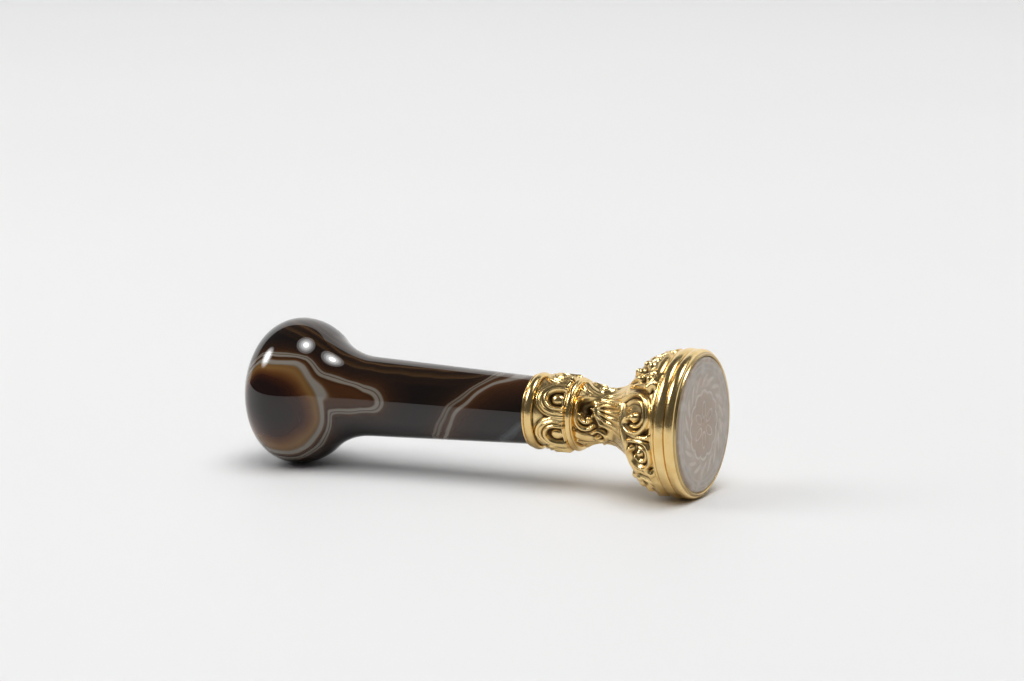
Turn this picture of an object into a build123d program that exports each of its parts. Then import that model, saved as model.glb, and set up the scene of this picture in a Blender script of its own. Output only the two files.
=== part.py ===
from build123d import *

import os
from math import asin, atan2, degrees, sqrt

# A desk seal lying on its side: an agate handle cemented into a chased gilt mount that holds an engraved stone.
# The axis runs along X, with the stone's face at the +X end. Stations are distances from that face towards the
# knob, in millimetres. Turns go round the axis from the top towards -Y, in degrees.

# Lengths along the axis, from the face to the knob
STONE_PROUD = 0.15
BEZEL_LENGTH = 2.15
FOOT_RING_LENGTH = 2.3
BELL_LENGTH = 7.6
STEM_LENGTH = 9.5
BAND_LENGTH = 1.6
DRUM_LENGTH = 5.7
MOUTH_LENGTH = 1.9
HANDLE_LENGTH = 53.9

# Agate handle: the knob's outline is three arcs, and a hollow throat leads into the tapered shank
KNOB_RADIUS = 12.7
KNOB_DOME = 9.0
SHOULDER_RADIUS = 7.3
UNDERSIDE_RADIUS = 8.9
THROAT_RADIUS = 12.0
SHANK_TOP_RADIUS = 7.4
SHANK_FOOT_RADIUS = 5.8
ROD_SOCKET_DEPTH = 14.0

# Ferrule: mouth ring, scroll drum and stem band
MOUTH_WALL = 0.75
MOUTH_CHAMFER = 0.55
TENON_SHOULDER = 0.65
DRUM_WALL = 0.55
LOBE_COUNT = 6
LOBE_STATION = 2.1
LOBE_RADIUS = 2.9
LOBE_RISE = 0.95
LOBE_FALL = 0.3
LOBE_GROOVE = 0.45
LOBE_BUTTON_RADIUS = 0.95
LOBE_RIDGE_WIDTH = 0.85
BAND_RISE = 0.35
BAND_CHAMFER = 0.45

# Leaf stem
STEM_HEAD_RADIUS = 5.4
WAIST_RADIUS = 4.4
WAIST_STATION = 2.4
WAIST_LENGTH = 2.6
STEM_FOOT_RADIUS = 5.6
UNIT_COUNT = 3
UNIT_TURN = 72.0
CARTOUCHE_STATION = 6.9
CARTOUCHE_RADIUS = 2.1
CARTOUCHE_RIM = 0.6
CARTOUCHE_RISE = 0.7
CARTOUCHE_DEPTH = 0.9
LEAF_WIDTH = 3.6
LEAF_TIP_WIDTH = 0.4
LEAF_RISE = 0.6
LEAF_MARGIN = 0.3

# Scroll bell
BELL_STEP = 0.3
BELL_CROWN_RADIUS = 6.1
BELL_WALL = 1.0
BELL_BANDS = 4
CROWN_THICKNESS = 1.2
HOLLOW_CROWN_RADIUS = 5.8
SCROLL_STATION = 3.2
SCROLL_RADIUS = 2.5
SCROLL_RIDGE = 0.75
SCROLL_RISE = 0.8
SCROLL_SWEEP = 240.0
SCROLL_OFFSETS = (0.0, 39.0)
BEAD_RADIUS = 0.85
BEAD_TOP_RADIUS = 0.4
BEAD_RISE = 0.8
SPRAY_OFFSET = 78.0
SPRAY_WIDTH = 5.2
SPRAY_RISE = 0.8
SPRAY_MARGIN = 0.7

# Foot ring, bezel and stone
RING_RADIUS = 12.7
REED_RISE = 0.5
REED_CHAMFER = 0.5
RING_STEP = 0.5
BEZEL_WALL = 0.55
LIP_LENGTH = 0.45
LIP_WIDTH = 0.6
STONE_BEVEL_WIDTH = 0.5
STONE_BEVEL_LENGTH = 0.7
PLATE_MARGIN = 0.3
PLATE_SEAT = 1.7
PLATE_THICKNESS = 0.8

# Tie rod, washer and nut
ROD_RADIUS = 1.5
ROD_TAIL = 0.8
WASHER_RADIUS = 4.0
WASHER_THICKNESS = 0.6
NUT_WIDTH = 5.0
NUT_LENGTH = 2.2
NUT_CHAMFER = 0.3

# Fits: spigots and their recesses, sliding clearance and cement
REGISTER_RADIUS = 3.2
REGISTER_LENGTH = 0.6
FIT = 0.05
CEMENT_GAP = 0.25

# Stations of the joints between the pieces
bezel_back = STONE_PROUD + BEZEL_LENGTH
foot_back = bezel_back + FOOT_RING_LENGTH
bell_back = foot_back + BELL_LENGTH
stem_back = bell_back + STEM_LENGTH
band_back = stem_back + BAND_LENGTH
drum_back = band_back + DRUM_LENGTH
mouth_back = drum_back + MOUTH_LENGTH
knob_end = mouth_back + HANDLE_LENGTH

# Radii and stations that one piece takes from another
mouth_bore = SHANK_FOOT_RADIUS + FIT
tenon_radius = SHANK_FOOT_RADIUS - TENON_SHOULDER
drum_bore = tenon_radius + CEMENT_GAP
drum_radius = drum_bore + DRUM_WALL
band_radius = drum_radius + BAND_RISE
band_register_back = band_back + REGISTER_LENGTH
tenon_end = band_register_back + CEMENT_GAP
ring_neck = RING_RADIUS - REED_RISE
bell_radius = ring_neck - BELL_STEP
bezel_bore = ring_neck - BEZEL_WALL
stone_radius = bezel_bore - FIT
plate_radius = stone_radius - PLATE_MARGIN
plate_bore = plate_radius + FIT
foot_bore = plate_radius - PLATE_SEAT
rod_bore = ROD_RADIUS + FIT
socket_radius = ROD_RADIUS + CEMENT_GAP
socket_end = tenon_end + ROD_SOCKET_DEPTH
rod_back = socket_end - CEMENT_GAP
crown_inside = bell_back - CROWN_THICKNESS
washer_front = crown_inside - WASHER_THICKNESS
nut_front = washer_front - NUT_LENGTH
rod_front = nut_front - ROD_TAIL
plate_back = bezel_back + PLATE_THICKNESS
stone_back = bezel_back - CEMENT_GAP
foot_register_back = foot_back + REGISTER_LENGTH
stem_spigot_front = crown_inside + FIT
stem_spigot_back = stem_back + REGISTER_LENGTH

# The bell's skin follows a sphere from the skirt to the crown in turned bands, and its hollow is a cone
dome_middle = foot_back + (BELL_LENGTH**2 + BELL_CROWN_RADIUS**2 - bell_radius**2) / (2 * BELL_LENGTH)
dome_radius = sqrt(bell_radius**2 + (foot_back - dome_middle) ** 2)
skirt_bore = bell_radius - BELL_WALL
hollow_slope = (skirt_bore - HOLLOW_CROWN_RADIUS) / (crown_inside - foot_back)
hollow_at_register = skirt_bore - hollow_slope * REGISTER_LENGTH

# The seal lies on its knob and its foot, with the middle of its length over the origin
face_x = knob_end / 2
axis_height = max(KNOB_RADIUS, RING_RADIUS)
axis = Axis((face_x, 0, axis_height), (-1, 0, 0))
lengthwise = Plane(origin=(face_x, 0, axis_height), x_dir=(-1, 0, 0), z_dir=(0, 1, 0))


def crosswise(station, turn=0.0):
    """Plane square to the axis that faces the knob, with its y pointing outwards at the turn."""
    square = Plane(origin=(face_x - station, 0, axis_height), x_dir=(0, -1, 0), z_dir=(-1, 0, 0))
    return square.moved(Rotation(0, 0, -turn))


def turns(first, count=UNIT_COUNT):
    """Turns spaced evenly round the axis."""
    return [first + place * 360 / count for place in range(count)]


def boss_plane(station, turn, lean=0.0, start=0.0):
    """Plane that stands on the axis, for a boss turned about its y.

    Its y points outwards at the turn, leaning towards the knob, and its x is start degrees from the knob.
    """
    square = crosswise(station, turn)
    seat = Plane(origin=square.origin, x_dir=square.z_dir, z_dir=square.y_dir)
    seat = seat.moved(Rotation(0, lean, 0)).moved(Rotation(0, 0, start))
    return Plane(origin=seat.origin, x_dir=seat.x_dir, z_dir=-seat.y_dir)


def dome_skin(station):
    """Radius of the bell's skin at a station."""
    return sqrt(dome_radius**2 - (station - dome_middle) ** 2)


# Agate handle: a flattened knob runs through a hollow throat into a tapered shank, with a tenon and a rod socket
shoulder_ring = KNOB_RADIUS - SHOULDER_RADIUS
crown_radius = (shoulder_ring**2 + KNOB_DOME**2 - SHOULDER_RADIUS**2) / (2 * (KNOB_DOME - SHOULDER_RADIUS))
crown_sweep = degrees(atan2(shoulder_ring, crown_radius - KNOB_DOME))
knob_middle = knob_end - KNOB_DOME
underside_middle = Vector(knob_middle, KNOB_RADIUS - UNDERSIDE_RADIUS)
shank_foot = Vector(mouth_back, SHANK_FOOT_RADIUS)
shank_run = (Vector(knob_middle, SHANK_TOP_RADIUS) - shank_foot).normalized()
shank_out = Vector(-shank_run.Y, shank_run.X)
throat_line = shank_foot + shank_out * THROAT_RADIUS
throat_offset = underside_middle - throat_line
throat_reach = sqrt((UNDERSIDE_RADIUS + THROAT_RADIUS) ** 2 - throat_offset.dot(shank_out) ** 2)
throat_middle = throat_line + shank_run * (throat_offset.dot(shank_run) - throat_reach)
to_throat = throat_middle - underside_middle
with BuildPart() as agate_handle:
    with BuildSketch(lengthwise):
        with BuildLine():
            crown = CenterArc((knob_end - crown_radius, 0), crown_radius, 0, crown_sweep)
            CenterArc((knob_middle, shoulder_ring), SHOULDER_RADIUS, crown_sweep, 90 - crown_sweep)
            underside = CenterArc(
                underside_middle, UNDERSIDE_RADIUS, 90, degrees(atan2(to_throat.Y, to_throat.X)) - 90
            )
            throat_foot = throat_middle - shank_out * THROAT_RADIUS
            TangentArc(underside @ 1, throat_foot, tangent=underside % 1)
            Polyline(
                throat_foot,
                shank_foot,
                (drum_back, SHANK_FOOT_RADIUS),
                (drum_back, tenon_radius),
                (tenon_end, tenon_radius),
                (tenon_end, socket_radius),
                (socket_end, socket_radius),
                (socket_end, 0),
                crown @ 0,
            )
        make_face()
    revolve(axis=axis)

# Handle cement: one pour that fills round the tenon, under it and up the rod's socket
with BuildPart() as handle_cement:
    with BuildSketch(lengthwise):
        with BuildLine():
            Polyline(
                (band_register_back, ROD_RADIUS),
                (rod_back, ROD_RADIUS),
                (rod_back, 0),
                (socket_end, 0),
                (socket_end, socket_radius),
                (tenon_end, socket_radius),
                (tenon_end, tenon_radius),
                (drum_back, tenon_radius),
                (drum_back, drum_bore),
                (band_register_back, drum_bore),
                close=True,
            )
        make_face()
    revolve(axis=axis)

# Mouth ring: a plain ring with eased edges that the shank's foot enters, soldered on the drum's end
with BuildPart() as mouth_ring:
    with BuildSketch(crosswise(drum_back)):
        Circle(mouth_bore + MOUTH_WALL)
        Circle(mouth_bore, mode=Mode.SUBTRACT)
    extrude(amount=MOUTH_LENGTH)
    chamfer(mouth_ring.edges().filter_by(GeomType.CIRCLE).sort_by(SortBy.RADIUS)[-2:], MOUTH_CHAMFER)

# Scroll drum: a tube with round lobes side by side, each a button inside two chased ridges, cut off at the band
with BuildPart() as scroll_drum:
    lobe_top = drum_radius + LOBE_RISE
    inner_ridge = LOBE_BUTTON_RADIUS + LOBE_RIDGE_WIDTH / 2
    with BuildSketch(crosswise(band_back)):
        Circle(drum_radius)
    extrude(amount=DRUM_LENGTH)
    for turn in turns(0, LOBE_COUNT):
        standing = boss_plane(band_back + LOBE_STATION, turn)
        with BuildSketch(standing):
            with BuildLine():
                Polyline(
                    (0, 0),
                    (0, lobe_top),
                    (LOBE_BUTTON_RADIUS, lobe_top - LOBE_GROOVE),
                    (inner_ridge, lobe_top - LOBE_FALL),
                    (inner_ridge + LOBE_RIDGE_WIDTH / 2, lobe_top - LOBE_FALL - LOBE_GROOVE),
                    (LOBE_RADIUS, lobe_top - 2 * LOBE_FALL),
                    (LOBE_RADIUS, 0),
                    close=True,
                )
            make_face()
        revolve(axis=Axis(standing.origin, standing.y_dir))
    with BuildSketch(crosswise(band_back)):
        Circle(lobe_top + LOBE_RADIUS)
    extrude(amount=-LOBE_RADIUS, mode=Mode.SUBTRACT)
    with BuildSketch(crosswise(band_back)):
        Circle(drum_bore)
    extrude(amount=DRUM_LENGTH, mode=Mode.SUBTRACT)

# Stem band: a turned disc with eased edges that registers in the drum's bore and takes the stem's spigot
with BuildPart() as stem_band:
    with BuildSketch(crosswise(stem_back)):
        Circle(band_radius)
    extrude(amount=BAND_LENGTH)
    chamfer(stem_band.edges().filter_by(GeomType.CIRCLE), BAND_CHAMFER)
    with BuildSketch(crosswise(band_back)):
        Circle(drum_bore - FIT)
    extrude(amount=REGISTER_LENGTH)
    with BuildSketch(crosswise(stem_back)):
        Circle(REGISTER_RADIUS + FIT)
    extrude(amount=REGISTER_LENGTH + FIT, mode=Mode.SUBTRACT)
    with BuildSketch(crosswise(stem_back)):
        Circle(rod_bore)
    extrude(amount=BAND_LENGTH + REGISTER_LENGTH, mode=Mode.SUBTRACT)

# Leaf stem: a waisted casting with dished cartouches round its head, a leaf below each and a leaf between them
waist_front = bell_back + WAIST_STATION
waist_back = waist_front + WAIST_LENGTH
cartouche_middle = bell_back + CARTOUCHE_STATION
cartouche_top = STEM_HEAD_RADIUS + CARTOUCHE_RISE
with BuildPart() as leaf_stem:
    with BuildSketch(lengthwise):
        with BuildLine():
            Polyline(
                (stem_spigot_front, 0),
                (stem_spigot_front, REGISTER_RADIUS),
                (bell_back, REGISTER_RADIUS),
                (bell_back, STEM_FOOT_RADIUS),
                (waist_front, WAIST_RADIUS),
                (waist_back, WAIST_RADIUS),
                (stem_back, STEM_HEAD_RADIUS),
                (stem_back, REGISTER_RADIUS),
                (stem_spigot_back, REGISTER_RADIUS),
                (stem_spigot_back, 0),
                close=True,
            )
        make_face()
    revolve(axis=axis)
    for turn in turns(UNIT_TURN):
        standing = boss_plane(cartouche_middle, turn)
        with BuildSketch(standing):
            with BuildLine():
                Polyline(
                    (0, 0),
                    (0, cartouche_top - CARTOUCHE_DEPTH),
                    (CARTOUCHE_RADIUS - CARTOUCHE_RIM, cartouche_top),
                    (CARTOUCHE_RADIUS, cartouche_top - CARTOUCHE_RIM),
                    (CARTOUCHE_RADIUS, 0),
                    close=True,
                )
            make_face()
        revolve(axis=Axis(standing.origin, standing.y_dir))
    fan = (bell_back + LEAF_MARGIN, STEM_FOOT_RADIUS), (cartouche_middle - CARTOUCHE_RADIUS, WAIST_RADIUS)
    acanthus = (stem_back - LEAF_MARGIN, STEM_HEAD_RADIUS), (waist_front, WAIST_RADIUS)
    between = UNIT_TURN + 180 / UNIT_COUNT
    for (base, tip), first_turn in ((fan, UNIT_TURN), (acanthus, between)):
        for turn in turns(first_turn):
            for (station, radius), width in ((base, LEAF_WIDTH), (tip, LEAF_TIP_WIDTH)):
                with BuildSketch(crosswise(station, turn)):
                    Polygon((-width / 2, 0), (width / 2, 0), (0, LEAF_RISE + radius), align=None)
            loft(ruled=True)
    with BuildSketch(crosswise(stem_spigot_front)):
        Circle(rod_bore)
    extrude(amount=stem_spigot_back - stem_spigot_front, mode=Mode.SUBTRACT)

# Scroll bell: a domed shell with C-scrolls curled about beads, a leaf spray between them, and a flat crown
band_stations = [foot_back + BELL_LENGTH * band / BELL_BANDS for band in range(BELL_BANDS + 1)]
scroll_lean = degrees(asin((foot_back + SCROLL_STATION - dome_middle) / dome_radius))
ridge_foot = sqrt(dome_radius**2 - SCROLL_RADIUS**2)
spray_base = foot_back + SPRAY_MARGIN
spray_tip = bell_back - SPRAY_MARGIN
spray_sections = (
    (spray_base, SPRAY_WIDTH),
    ((spray_base + spray_tip) / 2, SPRAY_WIDTH),
    (spray_tip, LEAF_TIP_WIDTH),
)
with BuildPart() as scroll_bell:
    with BuildSketch(lengthwise):
        with BuildLine():
            Polyline(
                *[(station, dome_skin(station)) for station in band_stations],
                (bell_back, REGISTER_RADIUS + FIT),
                (crown_inside, REGISTER_RADIUS + FIT),
                (crown_inside, HOLLOW_CROWN_RADIUS),
                (foot_back, skirt_bore),
                close=True,
            )
        make_face()
    revolve(axis=axis)
    for offset in SCROLL_OFFSETS:
        for turn in turns(UNIT_TURN + offset):
            standing = boss_plane(dome_middle, turn, scroll_lean, 180 - SCROLL_SWEEP / 2)
            with BuildSketch(standing):
                Polygon(
                    (SCROLL_RADIUS - SCROLL_RIDGE, ridge_foot - BELL_WALL / 2),
                    (SCROLL_RADIUS + SCROLL_RIDGE, ridge_foot - BELL_WALL / 2),
                    (SCROLL_RADIUS, ridge_foot + SCROLL_RISE),
                    align=None,
                )
            revolve(axis=Axis(standing.origin, standing.y_dir), revolution_arc=SCROLL_SWEEP)
            with BuildSketch(standing):
                Polygon(
                    (0, dome_radius - BELL_WALL / 2),
                    (BEAD_RADIUS, dome_radius - BELL_WALL / 2),
                    (BEAD_RADIUS, dome_radius),
                    (BEAD_TOP_RADIUS, dome_radius + BEAD_RISE),
                    (0, dome_radius + BEAD_RISE),
                    align=None,
                )
            revolve(axis=Axis(standing.origin, standing.y_dir))
    for turn in turns(UNIT_TURN + SPRAY_OFFSET):
        for station, width in spray_sections:
            skin_radius = dome_skin(station)
            with BuildSketch(crosswise(station, turn)):
                Polygon(
                    (-width / 2, skin_radius - BELL_WALL / 2),
                    (width / 2, skin_radius - BELL_WALL / 2),
                    (0, skin_radius + SPRAY_RISE),
                    align=None,
                )
        loft(ruled=True)

# Tie rod: runs from its socket in the handle through the band and the stem to the nut inside the bell
with BuildPart() as tie_rod:
    with BuildSketch(crosswise(rod_front)):
        Circle(ROD_RADIUS)
    extrude(amount=rod_back - rod_front)

# Tie washer: bears on the inside of the bell's crown
with BuildPart() as tie_washer:
    with BuildSketch(crosswise(washer_front)):
        Circle(WASHER_RADIUS)
        Circle(rod_bore, mode=Mode.SUBTRACT)
    extrude(amount=WASHER_THICKNESS)

# Tie nut: a square nut that draws the mount and the handle together
with BuildPart() as tie_nut:
    with BuildSketch(crosswise(nut_front)):
        Rectangle(NUT_WIDTH, NUT_WIDTH)
    extrude(amount=NUT_LENGTH)
    chamfer(tie_nut.faces().sort_by(Axis.X)[-1].edges(), NUT_CHAMFER)
    with BuildSketch(crosswise(nut_front)):
        Circle(ROD_RADIUS)
    extrude(amount=NUT_LENGTH, mode=Mode.SUBTRACT)

# Pitch fill: the filling of the bell's hollow, poured round the washer, the nut and the rod's end
with BuildPart() as pitch_fill:
    with BuildSketch(lengthwise):
        with BuildLine():
            Polyline(
                (plate_back, 0),
                (plate_back, foot_bore),
                (foot_register_back, foot_bore),
                (foot_register_back, hollow_at_register),
                (crown_inside, HOLLOW_CROWN_RADIUS),
                (crown_inside, WASHER_RADIUS),
                (washer_front, WASHER_RADIUS),
                (washer_front, 0),
                close=True,
            )
        make_face()
    revolve(axis=axis)
    add(tie_nut.part, mode=Mode.SUBTRACT)
    add(tie_rod.part, mode=Mode.SUBTRACT)

# Foot ring: a reed under the bell's skirt, with a register inside the bell and a rebate for the plate
with BuildPart() as foot_ring:
    reed_back = foot_back - RING_STEP
    register_radius = hollow_at_register - FIT
    with BuildSketch(lengthwise):
        with BuildLine():
            Polyline(
                (bezel_back, ring_neck),
                (bezel_back + REED_CHAMFER, RING_RADIUS),
                (reed_back - REED_CHAMFER, RING_RADIUS),
                (reed_back, ring_neck),
                (foot_back, ring_neck),
                (foot_back, register_radius),
                (foot_register_back, register_radius),
                (foot_register_back, foot_bore),
                (plate_back, foot_bore),
                (plate_back, plate_bore),
                (bezel_back, plate_bore),
                close=True,
            )
        make_face()
    revolve(axis=axis)

# Backing plate: closes the bell behind the stone, in the foot ring's rebate
with BuildPart() as backing_plate:
    with BuildSketch(crosswise(bezel_back)):
        Circle(plate_radius)
    extrude(amount=PLATE_THICKNESS)

# Bezel: the front reed, with a thin lip rubbed over the stone's bevel
with BuildPart() as bezel:
    lip_inside = bezel_bore - STONE_BEVEL_WIDTH * (1 - STONE_PROUD / STONE_BEVEL_LENGTH)
    lip_back = STONE_PROUD + LIP_LENGTH
    with BuildSketch(lengthwise):
        with BuildLine():
            Polyline(
                (STONE_PROUD, lip_inside),
                (STONE_PROUD, lip_inside + LIP_WIDTH),
                (lip_back, ring_neck),
                (lip_back + REED_CHAMFER, RING_RADIUS),
                (bezel_back - REED_CHAMFER, RING_RADIUS),
                (bezel_back, ring_neck),
                (bezel_back, bezel_bore),
                (STONE_BEVEL_LENGTH, bezel_bore),
                close=True,
            )
        make_face()
    revolve(axis=axis)

# Stone cement: the thin bed between the backing plate and the stone
with BuildPart() as stone_cement:
    with BuildSketch(crosswise(stone_back)):
        Circle(stone_radius)
    extrude(amount=CEMENT_GAP)

# Seal stone: a flat disc with a bevelled edge, held under the lip
with BuildPart() as seal_stone:
    with BuildSketch(lengthwise):
        with BuildLine():
            Polyline(
                (0, 0),
                (0, stone_radius - STONE_BEVEL_WIDTH),
                (STONE_BEVEL_LENGTH, stone_radius),
                (stone_back, stone_radius),
                (stone_back, 0),
                close=True,
            )
        make_face()
    revolve(axis=axis)

# Every piece is written under its own name
pieces = {
    "agate_handle": agate_handle,
    "handle_cement": handle_cement,
    "mouth_ring": mouth_ring,
    "scroll_drum": scroll_drum,
    "stem_band": stem_band,
    "leaf_stem": leaf_stem,
    "scroll_bell": scroll_bell,
    "tie_rod": tie_rod,
    "tie_washer": tie_washer,
    "tie_nut": tie_nut,
    "pitch_fill": pitch_fill,
    "foot_ring": foot_ring,
    "backing_plate": backing_plate,
    "bezel": bezel,
    "stone_cement": stone_cement,
    "seal_stone": seal_stone,
}
os.makedirs("parts", exist_ok=True)
for name, piece in pieces.items():
    piece.part.label = name
    export_step(piece.part, f"parts/{name}.step")
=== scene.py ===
from math import atan2, cos, degrees, pi, radians, sin, sqrt

import bmesh
import bpy
import numpy as np
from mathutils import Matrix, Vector


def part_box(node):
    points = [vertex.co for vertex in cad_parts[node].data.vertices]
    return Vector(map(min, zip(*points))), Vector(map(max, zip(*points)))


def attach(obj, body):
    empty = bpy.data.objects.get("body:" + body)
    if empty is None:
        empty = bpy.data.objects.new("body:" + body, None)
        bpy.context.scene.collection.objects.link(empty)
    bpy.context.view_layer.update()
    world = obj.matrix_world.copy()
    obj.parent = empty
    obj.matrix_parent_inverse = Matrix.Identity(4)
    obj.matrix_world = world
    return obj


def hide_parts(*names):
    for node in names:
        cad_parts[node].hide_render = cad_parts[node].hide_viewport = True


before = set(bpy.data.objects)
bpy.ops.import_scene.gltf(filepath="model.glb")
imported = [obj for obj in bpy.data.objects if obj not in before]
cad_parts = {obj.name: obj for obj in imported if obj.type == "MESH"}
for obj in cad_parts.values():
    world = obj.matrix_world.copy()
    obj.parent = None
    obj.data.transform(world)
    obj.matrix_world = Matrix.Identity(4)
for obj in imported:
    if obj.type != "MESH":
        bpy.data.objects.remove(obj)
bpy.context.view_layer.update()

# Agate handle: one piece of banded agate, turned to a flattened knob on a tapered shank and polished
# like glass. Its foot is a tenon that is cemented into the gilt mount.
MM = 0.001
face_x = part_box("seal_stone")[1].x
axis_z = (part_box("seal_stone")[0].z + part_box("seal_stone")[1].z) / 2


def arc(middle, radius, start, end, count):
    """Points of an arc in the outline's plane, from one angle to another in degrees."""
    angles = [radians(start + (end - start) * step / count) for step in range(count + 1)]
    return [(middle[0] + radius * cos(angle), middle[1] + radius * sin(angle)) for angle in angles]


SECTORS = 8
WELD = 0.002


def turned(name, outline, steps, ring=True):
    """A piece turned on the seal's axis, from a row of stations counted from the face and radii, in mm.

    One sector is spun and then copied round, which is much quicker than one long spin.
    """
    shape = bmesh.new()
    corners = [
        shape.verts.new((face_x - station * MM, 0, axis_z + radius * MM)) for station, radius in outline
    ]
    ends = corners[1:] + corners[:1] if ring else corners[1:]
    edges = [shape.edges.new(pair) for pair in zip(corners, ends)]
    lathe = {"cent": (0, 0, axis_z), "axis": (1, 0, 0)}
    sector = 2 * pi / SECTORS
    bmesh.ops.spin(shape, geom=edges, angle=sector, steps=steps // SECTORS, **lathe)
    everything = shape.verts[:] + shape.edges[:] + shape.faces[:]
    bmesh.ops.spin(
        shape, geom=everything, angle=2 * pi - sector, steps=SECTORS - 1, use_duplicate=True, **lathe
    )
    bmesh.ops.remove_doubles(shape, verts=shape.verts, dist=WELD * MM)
    bmesh.ops.recalc_face_normals(shape, faces=shape.faces)
    mesh = bpy.data.meshes.new(name)
    shape.to_mesh(mesh)
    shape.free()
    mesh.shade_smooth()
    piece = bpy.data.objects.new(name, mesh)
    bpy.context.scene.collection.objects.link(piece)
    return piece


def linear(colour):
    """Linear colour of an sRGB hex value."""
    parts = [int(colour[place : place + 2], 16) / 255 for place in (1, 3, 5)]
    return [part / 12.92 if part <= 0.04045 else ((part + 0.055) / 1.055) ** 2.4 for part in parts] + [1.0]


def add_node(tree, kind, settings=None, inputs=None, stops=None):
    """A shader node with its settings, its inputs set or linked, and a ramp's colour stops."""
    node = tree.nodes.new(kind)
    for name, value in (settings or {}).items():
        setattr(node, name, value)
    for name, value in (inputs or {}).items():
        if isinstance(value, bpy.types.NodeSocket):
            tree.links.new(value, node.inputs[name])
        else:
            node.inputs[name].default_value = value
    if stops:
        elements = node.color_ramp.elements
        while len(elements) < len(stops):
            elements.new(0.5)
        for element, (place, colour) in zip(elements, stops):
            element.position = place
            element.color = linear(colour)
    return node


def new_material(name, inputs):
    """A material with one Principled shader, its node tree and that shader."""
    material = bpy.data.materials.new(name)
    material.use_nodes = True
    shader = material.node_tree.nodes["Principled BSDF"]
    for socket, value in inputs.items():
        shader.inputs[socket].default_value = value
    return material, material.node_tree, shader


def dress(piece, node, material):
    """Puts a finished piece in the place of a CAD node."""
    piece.data.materials.clear()
    piece.data.materials.append(material)
    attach(piece, "root")
    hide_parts(node)


def banded(tree, growth, levels):
    """Colours of the bands that a number runs through, from a row of levels and hex colours."""
    low, high = levels[0][0], levels[-1][0]
    share = add_node(
        tree, "ShaderNodeMapRange", None, {"Value": growth, "From Min": low, "From Max": high}
    ).outputs["Result"]
    stops = [((level - low) / (high - low), colour) for level, colour in levels]
    return add_node(tree, "ShaderNodeValToRGB", None, {"Fac": share}, stops).outputs["Color"]


# How the agate grew: places and lengths in mm, and shares
BAND_WANDER = 0.8
EYE = (-32.9, -9.8, 11.3)
EYE_FLATTENING = (1.0, 1.0, 0.9)
EYE_RADIUS = 7.8
FAR_EYE = (-27.0, 10.5, 15.5)
FAR_EYE_RADIUS = 4.6
TONGUE_ROOT = Vector((-28.85, -7.93, 14.43))
TONGUE_TIP = Vector((-18.6, -6.27, 13.67))
TONGUE_HALF = 2.53
TONGUE_TAPER = 0.19
TONGUE_BLUNTNESS = 0.45
TONGUE_LEVEL = 0.75
SPUR_HALF = 3.11
SPUR_SIDE = 0.8
SPUR_TAPER = 0.594
SPUR_LEVEL = 0.05
SQUEEZE_WAY = (-0.6, 0.0, 0.8)
SQUEEZE_RUN = 6.0
SQUEEZE = 1.9
ARC_LINE = (18.94, 0.0, 1.2)
ARC_STRETCH = (1.0, 0.0, 1.28)
SAG_BACK = 10.0
SAG = 0.012
SHEET_LEAN = 0.55


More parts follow.
